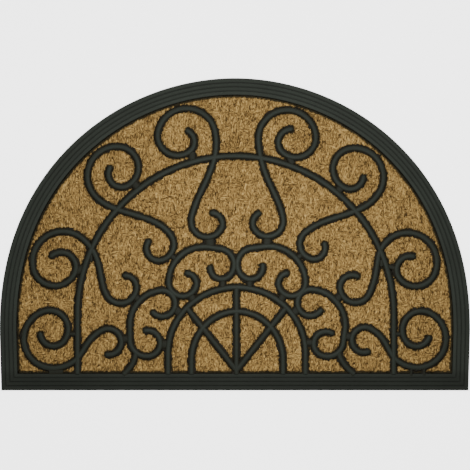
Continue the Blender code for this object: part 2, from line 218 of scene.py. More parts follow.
class BorderLook(bpy.types.PropertyGroup):
    """Sizes and colours of the ribbed border."""

    outer_top: FloatProperty(
        name="Outer rib top", description="Height of the outermost rib", default=0.005, unit="LENGTH"
    )
    inner_top: FloatProperty(
        name="Inner rib top", description="Height of the rib beside the coir", default=0.0086,
        unit="LENGTH",
    )
    relief: FloatProperty(
        name="Rib relief", description="Depth of the grooves between ribs", default=0.0009,
        unit="LENGTH",
    )
    rubber: FloatVectorProperty(
        name="Rubber", description="Colour of the border's rubber", subtype="COLOR", size=3,
        default=(0.0080, 0.0082, 0.0060),
    )
    # Colour of dust and of the painted highlight along the ribs
    dust_and_highlight: FloatVectorProperty(
        name="Dust", description="Colour of the dust on the ribs", subtype="COLOR", size=3,
        default=(0.0400, 0.0475, 0.0375),
    )


class CoirLook(bpy.types.PropertyGroup):
    """Sizes and colours of the woven coir."""

    strand_pitch: FloatProperty(
        name="Strand pitch", description="Distance from one upright strand to the next", default=0.0037,
        unit="LENGTH",
    )
    relief: FloatProperty(
        name="Weave relief", description="Height of a strand over the gap beside it", default=0.0013,
        unit="LENGTH",
    )
    # Width of the dark band beside each bar: seeped rubber and painted shade
    seep_and_shade: FloatProperty(
        name="Seep", description="How far the rubber has seeped past a bar's edge", default=0.0026,
        unit="LENGTH",
    )
    fibres: IntProperty(
        name="Fibres in a layer", description="How many loose fibres each of the layers has",
        default=7200, min=100,
    )
    fibre_width: FloatProperty(
        name="Fibre width", description="Thickness of one fibre", default=0.0010, unit="LENGTH"
    )
    fibre_length: FloatProperty(
        name="Fibre length", description="Usual length of one fibre", default=0.009, unit="LENGTH"
    )
    dark: FloatVectorProperty(
        name="Dark coir", description="Colour of the darkest fibres", subtype="COLOR", size=3,
        default=(0.070, 0.038, 0.010),
    )
    middle: FloatVectorProperty(
        name="Middle coir", description="Colour of most fibres", subtype="COLOR", size=3,
        default=(0.330, 0.198, 0.058),
    )
    light: FloatVectorProperty(
        name="Light coir", description="Colour of the palest fibres", subtype="COLOR", size=3,
        default=(0.645, 0.425, 0.142),
    )
    # Near-black colour for seeped rubber and painted shade beside bars and the border
    seeped_and_shaded: FloatVectorProperty(
        name="Soaked coir", description="Colour of coir that rubber has seeped into", subtype="COLOR",
        size=3, default=(0.026, 0.0205, 0.0080),
    )


class TraceryLook(bpy.types.PropertyGroup):
    """Sizes and colours of the rubber scrollwork."""

    bar_width: FloatProperty(
        name="Bar width", description="Width of every bar", default=0.0086, unit="LENGTH"
    )
    arch_rise: FloatProperty(
        name="Arch rise", description="How far the arch stands over the coir", default=0.0029,
        unit="LENGTH",
    )
    scroll_rise: FloatProperty(
        name="Scroll rise", description="How far the scrolls stand over the coir", default=0.0027,
        unit="LENGTH",
    )
    tie_rise: FloatProperty(
        name="Tie rise", description="How far the small ties stand over the coir", default=0.0016,
        unit="LENGTH",
    )
    # Painted sheen: the lighter colour along the top of a bar stands in for light on its crown
    crown: FloatVectorProperty(
        name="Crown", description="Colour of the rubber along the top of a bar", subtype="COLOR",
        size=3, default=(0.0285, 0.0355, 0.0275),
    )
    # Painted shade: the near-black colour down a bar's sides, also used for the seeped skirt
    flank: FloatVectorProperty(
        name="Flank", description="Colour of the rubber down a bar's sides", subtype="COLOR", size=3,
        default=(0.0145, 0.0130, 0.0068),
    )


class StageLook(bpy.types.PropertyGroup):
    """Floor, lights and camera."""

    floor: FloatVectorProperty(
        name="Floor", description="Colour of the floor", subtype="COLOR", size=3,
        default=(0.90, 0.90, 0.90),
    )
    sky: FloatProperty(
        name="Sky", description="Strength of the even light from all round", default=0.52
    )
    softbox: FloatProperty(
        name="Softbox", description="Power of the soft light over the mat", default=1.7, unit="POWER"
    )
    back_light: FloatProperty(
        name="Back light", description="Power of the large light behind the mat", default=12.0,
        unit="POWER",
    )
    view_width: FloatProperty(
        name="View width", description="Width that the camera sees at the floor", default=0.7494,
        unit="LENGTH",
    )
    camera_height: FloatProperty(
        name="Camera height", description="Height of the camera over the floor", default=10.0,
        unit="LENGTH",
    )


# Outline

def in_frame(plane, height):
    """Rows of x, y, z in metres in the part's frame, from complex x + iy and heights in millimetres."""
    plane, height = np.broadcast_arrays(plane, height)
    return np.stack((plane.real, plane.imag - MAT_DEPTH / 2, height), axis=-1) * MM


def front_corner(side, inset):
    """Where the straight front and a side meet, once both are moved inwards by inset."""
    lean = SIDE_TAPER / SIDE_RISE
    x = MAT_WIDTH / 2 - SIDE_TAPER + lean * inset - inset * math.hypot(1, lean)
    return side * x + 1j * inset


def between(start, end, count):
    """start + (end - start) t, for count even values of t from 0 up to but not including 1."""
    return start + (end - start) * np.arange(count) / count


def outline(inset):
    """The mat's edge moved inwards: the half-oval |x / a| ** p + (y / c) ** q = 1 along its own normal,
    which is the gradient (p x ** (p - 1) / a, q y ** (q - 1) / c), then the two sides and the front."""
    half = MAT_WIDTH / 2
    rise = MAT_DEPTH - SIDE_RISE
    turn = np.linspace(0, np.pi, OVAL_POINTS)
    across = np.sign(np.cos(turn)) * np.abs(np.cos(turn)) ** (2 / OVAL_POWER_X)
    up = np.clip(np.sin(turn), 0, 1) ** (2 / OVAL_POWER_Y)
    normal_x = np.sign(across) * np.abs(across) ** (OVAL_POWER_X - 1) * OVAL_POWER_X / half
    normal_y = up ** (OVAL_POWER_Y - 1) * OVAL_POWER_Y / rise
    scale = inset / np.hypot(normal_x, normal_y)
    oval = half * across - normal_x * scale + 1j * (SIDE_RISE + rise * up - normal_y * scale)
    right, left = front_corner(1, inset), front_corner(-1, inset)
    return np.concatenate((
        between(right, oval[0], SIDE_POINTS),
        oval,
        between(oval[-1], left, SIDE_POINTS)[1:],
        between(left, right, FRONT_POINTS),
    ))


def edge_distance(plane, inset):
    """How far inside the moved-in edge each point lies: the least of the distance to the front, to
    the leaning side, and to the half-oval, which is its equation's value over its gradient's length."""
    x, y = np.abs(plane.real), plane.imag
    lean = SIDE_TAPER / SIDE_RISE
    corner = front_corner(1, inset)
    side = corner.real + lean * (y - corner.imag) - x
    half, rise = MAT_WIDTH / 2 - inset, MAT_DEPTH - SIDE_RISE - inset
    up = np.clip(y - SIDE_RISE, 0, None)
    value = (x / half) ** OVAL_POWER_X + (up / rise) ** OVAL_POWER_Y - 1
    slope_x = OVAL_POWER_X * (x / half) ** (OVAL_POWER_X - 1) / half
    slope_y = OVAL_POWER_Y * (up / rise) ** (OVAL_POWER_Y - 1) / rise
    oval = -value / np.maximum(np.hypot(slope_x, slope_y), 1e-4)
    return np.minimum(np.where(y > SIDE_RISE, oval, side), y - inset)


# Noise

def hashed(i, j, seed):
    """A number from 0 to 1 for each whole-number cell, the same each run."""
    mixed = (i.astype(np.int64) * 73856093) ^ (j.astype(np.int64) * 19349663) ^ (seed * 83492791)
    mixed = (mixed ^ (mixed >> 13)) * 1274126177
    mixed = (mixed ^ (mixed >> 16)) * 668265263
    return ((mixed ^ (mixed >> 15)) & 0xFFFFF) / 0xFFFFF


def noise(u, v, seed):
    """Smooth noise from -1 to 1: the hashed corners of each unit cell, blended by 3t^2 - 2t^3."""
    i, j = np.floor(u), np.floor(v)
    s, t = u - i, v - j
    s, t = s * s * (3 - 2 * s), t * t * (3 - 2 * t)
    low = hashed(i, j, seed) * (1 - s) + hashed(i + 1, j, seed) * s
    high = hashed(i, j + 1, seed) * (1 - s) + hashed(i + 1, j + 1, seed) * s
    return 2 * (low * (1 - t) + high * t) - 1


def eased(value, low, high):
    """0 below low, 1 above high, and 3t^2 - 2t^3 between."""
    t = np.clip((value - low) / (high - low), 0, 1)
    return t * t * (3 - 2 * t)


# Meshes

def rings_to_quads(rings, start=0):
    """Faces of tubes whose points are an array of tubes x stations x points round."""
    index = start + np.arange(rings[0] * rings[1] * rings[2]).reshape(rings)
    here, ahead = index[:, :-1], index[:, 1:]
    quads = np.stack((here, ahead, np.roll(ahead, -1, 2), np.roll(here, -1, 2)), axis=-1)
    return [quads.reshape(-1, 4), index[:, 0], index[:, -1, ::-1]]


def new_piece(name, points, faces, values, material, smooth_below=None):
    """A mesh object from rows of points, arrays of faces with any number of corners, and named values
    per point."""
    faces = [block.reshape(-1, block.shape[-1]) for block in faces]
    corners = np.concatenate([block.ravel() for block in faces])
    sizes = np.concatenate([np.full(len(block), block.shape[1]) for block in faces])
    mesh = bpy.data.meshes.new(name)
    mesh.vertices.add(len(points))
    mesh.vertices.foreach_set("co", points.astype(np.float32).ravel())
    mesh.loops.add(len(corners))
    mesh.loops.foreach_set("vertex_index", corners.astype(np.int32))
    mesh.polygons.add(len(sizes))
    mesh.polygons.foreach_set("loop_start", (np.cumsum(sizes) - sizes).astype(np.int32))
    mesh.update(calc_edges=True)
    mesh.validate()
    for key, value in values.items():
        attribute = mesh.attributes.new(key, "FLOAT", "POINT")
        attribute.data.foreach_set("value", np.ascontiguousarray(value, np.float32).ravel())
    mesh.shade_smooth()
    if smooth_below:
        mesh.set_sharp_from_angle(angle=math.radians(smooth_below))
    mesh.materials.append(material)
    piece = bpy.data.objects.new(name, mesh)
    bpy.context.scene.collection.objects.link(piece)
    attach(piece, "root")
    return piece


# Lines of the bars

def way(degrees):
    """The unit vector at an angle."""
    return np.exp(1j * np.radians(degrees))


def arc(centre, radius, start, end):
    """centre + radius times the unit vector, whose angle goes evenly from start to end."""
    steps = max(2, int(abs(math.radians(end - start)) * radius / BAR_STEP))
    return centre + radius * way(np.linspace(start, end, steps + 1))


def joined(runs):
    """Runs end to end, without the point that two of them share."""
    return np.concatenate([runs[0]] + [run[1:] for run in runs[1:]])


def volute(centre, arcs):
    """Arcs of falling radius, given as radius, start and end. Each next centre lies on the line from
    the last centre to the join, so that the two arcs share a tangent there."""
    runs = []
    for index, (radius, start, end) in enumerate(arcs):
        runs.append(arc(centre, radius, start, end))
        if index + 1 < len(arcs):
            centre = centre + (radius - arcs[index + 1][0]) * way(end)
    return joined(runs)


def heading(degrees, anticlockwise):
    """The direction of travel on a circle at an angle."""
    return way(degrees) * (1j if anticlockwise else -1j)


def blend(start, start_way, start_handle, end, end_way, end_handle):
    """Cubic curve a(1-t)^3 + 3b t(1-t)^2 + 3c t^2(1-t) + d t^3 that leaves a and reaches d in the given
    directions: b is a plus its direction times its handle, and c is d minus its own."""
    first = start + start_way * start_handle
    second = end - end_way * end_handle
    steps = max(4, int(abs(end - start) * 1.1 / BAR_STEP))
    t = np.linspace(0, 1, steps + 1)
    near = start * (1 - t) ** 3 + 3 * first * t * (1 - t) ** 2
    return near + 3 * second * t * t * (1 - t) + end * t ** 3


def on_side(line, side):
    """The line as it is on the right, or mirrored for the left."""
    return line if side > 0 else -np.conj(line)


def scroll_line(head, hook):
    """An S scroll: head from its tip outwards, neck, then the hook to its tip."""
    head_line = volute(head.x + 1j * head.y, (
        (head.radius, head.leave, head.join),
        (head.mid_radius, head.join, head.curl),
        (head.core_radius, head.curl, head.tip),
    ))
    hook_line = volute(hook.x + 1j * hook.y, (
        (hook.radius, hook.enter, hook.join),
        (hook.core_radius, hook.join, hook.tip),
    ))
    neck = blend(
        head_line[0], heading(head.leave, head.join < head.leave), head.handle,
        hook_line[0], heading(hook.enter, hook.join > hook.enter), hook.handle,
    )
    return on_side(joined((head_line[::-1], neck, hook_line)), head.side)


def cee_line(cee):
    """A C scroll: the start hook from its tip, the wide arc of its back, then the finish hook. A
    straight leg may lie between the back and a hook."""
    centre = cee.x + 1j * cee.y
    start_leg = heading(cee.start, True) * cee.start_leg
    finish_leg = heading(cee.finish, False) * cee.finish_leg
    start_hook = volute(centre + (cee.radius - cee.start_radius) * way(cee.start) + start_leg, (
        (cee.start_radius, cee.start, cee.start_join),
        (cee.start_core, cee.start_join, cee.start_tip),
    ))
    finish_hook = volute(centre + (cee.radius - cee.finish_radius) * way(cee.finish) + finish_leg, (
        (cee.finish_radius, cee.finish, cee.finish_join),
        (cee.finish_core, cee.finish_join, cee.finish_tip),
    ))
    back = arc(centre, cee.radius, cee.start, cee.finish)
    runs = [start_hook[::-1], back, finish_hook]
    if cee.finish_leg:
        runs.insert(2, straight(back[-1], finish_hook[0]))
    if cee.start_leg:
        runs.insert(1, straight(start_hook[0], back[0]))
    return on_side(joined(runs), cee.side)


def straight(start, end):
    """Even points from start to end."""
    steps = max(2, int(abs(end - start) / BAR_STEP))
    return start + (end - start) * np.linspace(0, 1, steps + 1)


def legged(curve, foot_y):
    """A curve on two straight legs that go down to foot_y."""
    left, right = curve[0], curve[-1]
    left_foot, right_foot = left.real + 1j * foot_y, right.real + 1j * foot_y
    return joined((straight(left_foot, left), curve, straight(right, right_foot)))


def fan_line(fan, foot_y):
    """Half an oval: half width times cos a, and rise times sin a over the spring line."""
    turn = np.linspace(np.pi, 0, 90)
    curve = fan.x + fan.half_width * np.cos(turn) + 1j * (fan.spring + fan.rise * np.sin(turn))
    return legged(curve, foot_y)


def foot_line(foot):
    """A foot: a cubic curve that leaves straight down and turns out to its toe."""
    start = foot.x + 1j * FOOT_START_Y
    end = foot.x + foot.spread + 1j * (BORDER_WIDTH - FOOT_OVERLAP)
    return on_side(blend(start, -1j, FOOT_HANDLES[0], end, FOOT_TOE, FOOT_HANDLES[1]), foot.side)


def tracery_bars(look):
    """Every bar and tie of the tracery."""
    width = look.bar_width / MM
    scroll_rise, arch_rise = look.scroll_rise / MM, look.arch_rise / MM
    foot_y = BORDER_WIDTH - LEG_OVERLAP
    fork = SPOKE_X + 1j * SPOKE_FORK
    arch = arc(ARCH_X + 1j * ARCH_SPRING, ARCH_RADIUS, 180, 0)
    cee_rise, fan_rise = scroll_rise - CEE_DROP, scroll_rise + FAN_LIFT
    spoke_rise = scroll_rise - SPOKE_DROP
    bars = [Bar(legged(arch, foot_y), width, arch_rise, False, FULL_SHEEN)]
    bars += [Bar(scroll_line(*rows), width, scroll_rise, True, FULL_SHEEN) for rows in SCROLLS.values()]
    bars += [Bar(cee_line(cee), width, cee_rise, True, FULL_SHEEN) for cee in CEES.values()]
    bars += [Bar(fan_line(fan, foot_y), width, fan_rise, False, FULL_SHEEN) for fan in FAN_ARCS]
    bars += [Bar(straight(start, end), width, spoke_rise, False, SPOKE_SHEEN) for start, end in (
        (SPOKE_X + 1j * foot_y, SPOKE_X + 1j * SPOKE_TOP),
        (fork, SPOKE_X - SPOKE_REACH + 1j * SPOKE_END),
        (fork, SPOKE_X + SPOKE_REACH + 1j * SPOKE_END),
    )]
    bars += [Bar(foot_line(foot), width, spoke_rise, False, SPOKE_SHEEN) for foot in FEET]
    for tie in TIES:
        middle, reach = tie.x + 1j * tie.y, way(tie.angle) * tie.length / 2
        line = straight(middle - reach, middle + reach)
        bars.append(Bar(line, tie.width, look.tie_rise / MM, False, TIE_SHEEN))
    return bars


# Rubber bars

SECTION_ANGLES = np.linspace(0, np.pi, 13)
SECTION_POWER = 0.8
CROWN_POWER = 2.2
WIDTH_WANDER = 0.035
RISE_WANDER = 0.05
BAR_SUNK = 1.4
END_STATIONS = np.array([0, 0.03, 0.12, 0.27, 0.48, 0.74])
LEAST_NOSE = 0.004
SEEP_SHOULDER = 0.75
SEEP_SUNK = 0.9
SEEP_TOP = 0.42


def length_run(line):
    """How far along the line each of its points is."""
    return np.concatenate(([0], np.cumsum(np.abs(np.diff(line)))))


def stations(bar):
    """The bar's line at even steps, closer together in the last stretch before each end. Returns the
    points, the direction there, the length run and the distance to the nearer end."""
    run = length_run(bar.line)
    half = bar.width / 2
    ends = half * END_STATIONS
    inner = np.linspace(half, run[-1] - half, max(2, int(run[-1] / BAR_STEP)))
    at = np.concatenate((ends, inner, run[-1] - ends[::-1]))
    line = np.interp(at, run, bar.line.real) + 1j * np.interp(at, run, bar.line.imag)
    travel = np.gradient(line, at)
    return line, travel / np.abs(travel), at, np.minimum(at, run[-1] - at)


def nose(bar, to_end):
    """The share of its full size that a bar has: all of it, or sqrt(1 - (1 - s / w) ** 2) at distance s
    from a round end, for a bar of half width w."""
    if not bar.round_ends:
        return np.ones(len(to_end))
    return np.sqrt(np.clip(1 - (1 - np.clip(2 * to_end / bar.width, 0, 1)) ** 2, LEAST_NOSE, 1))


def bar_rings(bar, seed):
    """Half-round tube: at each station the points (-w cos a, h sin a ** 0.8) for a from 0 to 180
    degrees, and two more below them, sunk in the coir. At a round end w and h shrink as a circle does.
    Returns the points, and how near the crown each is, scaled by the bar's share of painted sheen."""
    line, travel, run, to_end = stations(bar)
    share = nose(bar, to_end)
    wide = bar.width / 2 * share * (1 + WIDTH_WANDER * noise(run / 9, run * 0 + seed, 3))
    high = bar.rise * share * (1 + RISE_WANDER * noise(run / 13, run * 0 + seed, 4))
    across = -np.cos(SECTION_ANGLES)
    lift = np.sin(SECTION_ANGLES) ** SECTION_POWER
    plane = line[:, None] + 1j * travel[:, None] * np.outer(wide, across)
    height = COIR_TOP + FIT_GAP + np.outer(high, lift)
    sunk = np.full((len(line), 1), COIR_TOP - BAR_SUNK)
    plane = np.concatenate((plane[:, :1], plane, plane[:, -1:]), axis=1)
    height = np.concatenate((sunk, height, sunk), axis=1)
    # Painted sheen: most along the crown, none down the sides or under the coir
    crown = np.concatenate(([0], np.sin(SECTION_ANGLES), [0])) ** CROWN_POWER * bar.wear
    return in_frame(plane, height), np.broadcast_to(crown, plane.shape)


def seep_and_shade_rings(bar, seed, seep_and_shade):
    """The rubber that has run out into the coir, a dark skirt that is also painted shade beside the bar: a
    flat lens whose two edges wander with the noise along the bar, each on its own."""
    line, travel, run, to_end = stations(bar)
    wander = [seep_and_shade * (0.55 + 0.8 * noise(run / 2.6, run * 0 + seed, key)
                      + 0.5 * noise(run / 7, run * 0 + seed, key + 9)) for key in (5, 6)]
    right, left = (nose(bar, to_end) * (bar.width / 2 + np.clip(side, -0.6, 2.2 * seep_and_shade)) for side in wander)
    across = np.stack((-right, -SEEP_SHOULDER * right, SEEP_SHOULDER * left, left), axis=1)
    height = COIR_TOP + np.array([-SEEP_SUNK, SEEP_TOP, SEEP_TOP, -SEEP_SUNK])
    plane = line[:, None] + 1j * travel[:, None] * across
    return in_frame(plane, height)


def tubes_to_piece(name, tubes, values, material):
    """Tubes of any length as one mesh."""
    points, faces = [], []
    count = 0
    for rings in tubes:
        faces += rings_to_quads((1, *rings.shape[:2]), count)
        points.append(rings.reshape(-1, 3))
        count += rings.shape[0] * rings.shape[1]
    values = {key: np.concatenate([block.ravel() for block in rows]) for key, rows in values.items()}
    return new_piece(name, np.concatenate(points), faces, values, material)


# Coir

def near_bars(bars):
    """A table, at NEAR_CELL, of how far each place is beyond the nearest bar's edge, up to NEAR_REACH:
    every point of every bar lowers the cells round it, one offset of the window at a time. Each line
    stops half a bar's width short of its ends, as the middle of a round end does."""
    lines = []
    for bar in bars:
        run = length_run(bar.line)
        short = min(bar.width, run[-1]) / 2
        lines.append(np.interp(np.linspace(short, run[-1] - short, int(run[-1]) + 1), run, bar.line))
    half = np.repeat([bar.width / 2 for bar in bars], [len(line) for line in lines])
    line = np.concatenate(lines)
    shape = (int(MAT_DEPTH / NEAR_CELL) + 2, int(MAT_WIDTH / NEAR_CELL) + 2)
    table = np.full(shape, float(NEAR_REACH))
    column = np.round((line.real + MAT_WIDTH / 2) / NEAR_CELL).astype(int)
    row = np.round(line.imag / NEAR_CELL).astype(int)
    reach = int((NEAR_REACH + NEAR_MARGIN) / NEAR_CELL)
    for down in range(-reach, reach + 1):
        for along in range(-reach, reach + 1):
            r = np.clip(row + down, 0, shape[0] - 1)
            c = np.clip(column + along, 0, shape[1] - 1)
            cell = c * NEAR_CELL - MAT_WIDTH / 2 + 1j * r * NEAR_CELL
            np.minimum.at(table, (r, c), np.abs(cell - line) - half)
    return table


def beyond_bar(table, plane):
    """The table read at any points, blended between its four nearest cells."""
    u = np.clip((plane.real + MAT_WIDTH / 2) / NEAR_CELL, 0, table.shape[1] - 1.001)
    v = np.clip(plane.imag / NEAR_CELL, 0, table.shape[0] - 1.001)
    c, r = u.astype(int), v.astype(int)
    s, t = u - c, v - r
    low = table[r, c] * (1 - s) + table[r, c + 1] * s
    high = table[r + 1, c] * (1 - s) + table[r + 1, c + 1] * s
    return low * (1 - t) + high * t


WEAVE_PITCH = 31.0
WEAVE_ROW = 27.7
FLOAT_HALF = (8.5, 5.5)
FLOAT_JITTER = 5
FLOAT_EDGE = (0.85, 1.15)
STRAND_DIP = 13.8
PIT_EDGE = (0.62, 0.9)
# How much the pits' tone is darkened, as painted shade
PIT_SHADE = 0.95
PIT_DEPTH = 1.2
WEAVE_LEVEL = 0.75
# Painted shade in the groove between the coir and the border, with seeped rubber: how far it reaches, and
# how ragged
BORDER_SHADE = (3.2, 5.0)
BORDER_RAG = 1.3


def floats(plane):
    """1 where the strands run across and 0 where they run up: soft-edged patches on a lattice whose
    every other row is moved by half a pitch, each patch with a size and place of its own."""
    row = np.round(plane.imag / WEAVE_ROW)
    shift = np.where(row % 2 == 0, 0.0, WEAVE_PITCH / 2)
    column = np.round((plane.real - shift) / WEAVE_PITCH)
    x = column * WEAVE_PITCH + shift + FLOAT_JITTER * (hashed(column, row, 21) - 0.5)
    y = row * WEAVE_ROW + FLOAT_JITTER * (hashed(column, row, 22) - 0.5)
    wide = FLOAT_HALF[0] * (0.75 + 0.5 * hashed(column, row, 23))
    high = FLOAT_HALF[1] * (0.7 + 0.6 * hashed(column, row, 24))
    off = np.maximum(np.abs(plane.real - x) / wide, np.abs(plane.imag - y) / high)
    off = off + 0.22 * noise(plane.real / 2.5, plane.imag / 2.5, 25)
    return 1 - eased(off, *FLOAT_EDGE)


def pits(plane):
    """1 in the small gaps where strands dive under, and 0 elsewhere: the peaks of short noise. The weave
    sinks there and its tone is darkened as painted shade.
    """
    x, y = plane.real, plane.imag
    return eased(noise(x / 2.3, y / 3.6, 36) + 0.35 * noise(x / 12, y / 12, 37), *PIT_EDGE)


def strand_tone(plane):
    """How pale the coir is, from 0 to 1: noise drawn out along the strands, upright or across, darkened in
    the pits as painted shade.
    """
    x, y = plane.real, plane.imag
    upright = 0.6 * noise(x / 2.4, y / 9, 31) + noise(x / 1.3, y / 7, 32)
    across = 0.6 * noise(x / 9, y / 2.4, 33) + noise(x / 7, y / 1.3, 34)
    patch = floats(plane)
    broad = 0.07 * noise(x / 34, y / 34, 35)
    even = 0.55 + 0.31 * (upright * (1 - patch) + across * patch) + broad
    # Painted shade in the pits
    return np.clip(even - PIT_SHADE * pits(plane), 0, 1)


def coir_height(plane, look):
    """Height of the weave: |sin| ridges at the strand pitch, upright outside the floats and across in
    them, each strand rising and dipping along its own length, and a little noise."""
    x, y = plane.real, plane.imag
    pitch = look.strand_pitch / MM
    u = x + 1.2 * noise(x / 14, y / 14, 11) + 0.4 * noise(x / 5, y / 9, 12)
    v = y + 1.2 * noise(x / 14, y / 14, 13) + 0.4 * noise(x / 9, y / 5, 14)
    strand = np.floor(u / pitch)
    upright = np.abs(np.sin(np.pi * u / pitch)) ** 0.6
    dips = np.sin(np.pi * (y / STRAND_DIP + hashed(strand, strand * 0, 15))) ** 2
    across = np.abs(np.sin(np.pi * v / (0.9 * pitch))) ** 0.6
    patch = floats(plane)
    weave = upright * (0.55 + 0.45 * dips) * (1 - patch) + (0.25 + 0.75 * across) * patch
    rough = 0.25 * noise(x / 2.1, y / 2.1, 16)
    lift = weave + rough - PIT_DEPTH * pits(plane)
    return COIR_TOP + (lift - WEAVE_LEVEL) * look.relief / MM


def seeped_and_shaded(table, plane, look):
    """1 beside a bar or the border, where rubber has seeped into the coir and where shade is painted in the
    groove there, falling to 0 over a ragged millimetre or two."""
    x, y = plane.real, plane.imag
    rag = 0.7 * noise(x / 1.7, y / 1.7, 41) + 0.5 * noise(x / 5, y / 5, 42)
    reach = look.seep_and_shade / MM * (1 + 0.6 * rag)
    beside_bar = 1 - eased(beyond_bar(table, plane), reach - 0.9, reach + 0.5)
    low, high = (edge + BORDER_RAG * rag for edge in BORDER_SHADE)
    beside_border = 1 - eased(edge_distance(plane, BORDER_WIDTH), low, high)
    return np.maximum(beside_bar, beside_border)


def inward(plane, inset):
    """The slope of edge_distance at each point, from its change over a small step each way."""
    steps = (SLOPE_STEP, 1j * SLOPE_STEP)
    change = [edge_distance(plane + step, inset) - edge_distance(plane - step, inset) for step in steps]
    return (change[0] + 1j * change[1]) / (2 * SLOPE_STEP)


def coir_panel(look, table, material):
    """The woven panel: a square grid of points over the D, those just outside it drawn in to its edge,
    lifted to the weave's height; then a wall down to the web and a flat bottom."""
    inset = BORDER_WIDTH + FIT_GAP
    margin = BORDER_WIDTH - COIR_MARGIN
    across = np.arange(-MAT_WIDTH / 2, MAT_WIDTH / 2, COIR_CELL)
    up = np.arange(margin, MAT_DEPTH - margin, COIR_CELL)
    plane = across[None, :] + 1j * up[:, None]
    inside = edge_distance(plane, inset)
    slope = inward(plane, inset)
    drawn_in = plane + np.clip(-inside, 0, None) * slope / np.maximum(np.abs(slope) ** 2, 0.5)
    kept = inside > -DRAWN_IN * COIR_CELL
    cell = kept[:-1, :-1] & kept[1:, :-1] & kept[:-1, 1:] & kept[1:, 1:]
    index = np.arange(plane.size).reshape(plane.shape)
    quads = np.stack((index[:-1, :-1], index[:-1, 1:], index[1:, 1:], index[1:, :-1]), axis=-1)[cell]
    used, faces = np.unique(quads, return_inverse=True)
    points = drawn_in.ravel()[used]
    # Seeped rubber and painted shade beside bars and the border, where the coir also sinks
    seep_and_shade = seeped_and_shaded(table, points, look)
    height = coir_height(points, look) - seep_and_shade
    panel = new_piece(
        "coir_weave", in_frame(points, height), [faces.reshape(-1, 4)],
        {"tone": strand_tone(points), "soak": seep_and_shade, "patch": floats(points)}, material,
    )
    shell = bmesh.new()
    shell.from_mesh(panel.data)
    rim = [edge for edge in shell.edges if edge.is_boundary]
    lowered = bmesh.ops.extrude_edge_only(shell, edges=rim)["geom"]
    for item in lowered:
        if isinstance(item, bmesh.types.BMVert):
            item.co.z = COIR_BOTTOM * MM
    bottom = [item for item in lowered if isinstance(item, bmesh.types.BMEdge)]
    bmesh.ops.edgeloop_fill(shell, edges=bottom)
    bmesh.ops.recalc_face_normals(shell, faces=shell.faces)
    shell.to_mesh(panel.data)
    shell.free()
    return panel


# Loose fibres: turns in degrees, lifts and dips in millimetres, the rest as shares
FIBRE_STATIONS = 5
FIBRE_TURN = 13
FIBRE_DRIFT = 16
WILD_SHARE = 0.08
FIBRE_BEND = 0.10
FIBRE_TAPER = 0.55
FIBRE_LIFT = 0.15
FIBRE_HUMP = 0.9
FIBRE_DIP = 0.5
SOAKED_DIP = 1.1
FIBRE_CLEAR = 1.5


def fibre_layer(name, seed, look, table, material):
    """One layer of loose fibres, as three-sided tubes of five stations. Each starts from a random
    middle, lies along the strands there with a random turn and bend, follows the weave's height, humps
    in the middle and dips into the weave at its ends."""
    rng = np.random.default_rng(seed)
    tries = look.fibres * 2
    half = MAT_WIDTH / 2
    middle = rng.uniform(-half, half, tries) + 1j * rng.uniform(0, MAT_DEPTH, tries)
    free = (edge_distance(middle, BORDER_WIDTH) > FIBRE_CLEAR) & (beyond_bar(table, middle) > -FIBRE_CLEAR)
    middle = middle[free][:look.fibres]
    count = len(middle)
    patch = floats(middle) > 0.5
    angle = np.where(patch, 0.0, 90.0) + rng.normal(0, FIBRE_TURN, count)
    wild = rng.random(count) < WILD_SHARE
    angle = np.where(wild, rng.uniform(0, 180, count), angle)
    angle = angle + FIBRE_DRIFT * noise(middle.real / 16, middle.imag / 16, 51)
    usual = look.fibre_length / MM * np.where(patch, 0.75, 1.0)
    length = usual * rng.uniform(0.45, 1.35, count)
    t = np.linspace(-1, 1, FIBRE_STATIONS)
    bend = rng.normal(0, FIBRE_BEND, count)[:, None] * length[:, None] * (t * t - 0.4)
    line = middle[:, None] + way(angle)[:, None] * (t * length[:, None] / 2 + 1j * bend)
    travel = np.gradient(line, axis=1)
    travel = travel / np.abs(travel)
    # Seeped rubber and painted shade, where the fibres also sink
    seep_and_shade = seeped_and_shaded(table, line, look)
    radius = look.fibre_width / MM / 2 * rng.uniform(0.6, 1.4, count)[:, None]
    thick = radius * (1 - FIBRE_TAPER * np.abs(t) ** 3)
    hump = rng.uniform(0.0, FIBRE_HUMP, count)[:, None] * (1 - t * t)
    dip = FIBRE_DIP * np.abs(t) ** 3 + SOAKED_DIP * seep_and_shade
    rest = coir_height(line, look) + FIBRE_LIFT + hump - dip
    corner = np.radians(rng.uniform(0, 360, count))[:, None, None] + np.radians([0, 120, 240])
    plane = line[:, :, None] + 1j * travel[:, :, None] * thick[:, :, None] * -np.cos(corner)
    height = rest[:, :, None] + thick[:, :, None] * np.sin(corner)
    tone = np.clip(strand_tone(middle) * 0.45 + 1.0 * rng.random(count) - 0.23, 0, 1)
    faces = rings_to_quads((count, FIBRE_STATIONS, 3))
    values = {"tone": tone[:, None, None], "soak": seep_and_shade[:, :, None], "patch": patch[:, None, None]}
    values = {key: np.broadcast_to(value, plane.shape) for key, value in values.items()}
    return new_piece(name, in_frame(plane, height).reshape(-1, 3), faces, values, material)


# Border

# Inset and height of the corners up the outer lip
LIP_SECTION = np.array([(0.4, 0.0), (0.0, 0.4), (0.0, 2.3), (0.12, 2.8), (0.4, 3.2)])
RIB_STEPS = 10
WAVINESS = 0.10

# Dust and painted light on the ribs: a base of dust in the grooves, a painted highlight along a rib's
# ridge, lighter on the innermost rib and on the lip, and the share of it that is kept along the front, the
# rest taken off as painted shade
GROOVE_DUST = 0.35
RIDGE_HIGHLIGHT = 0.5
INNER_RIB_LIGHTER = 0.15
LIP_LIGHTER = 0.5
FRONT_SHADE = 0.66


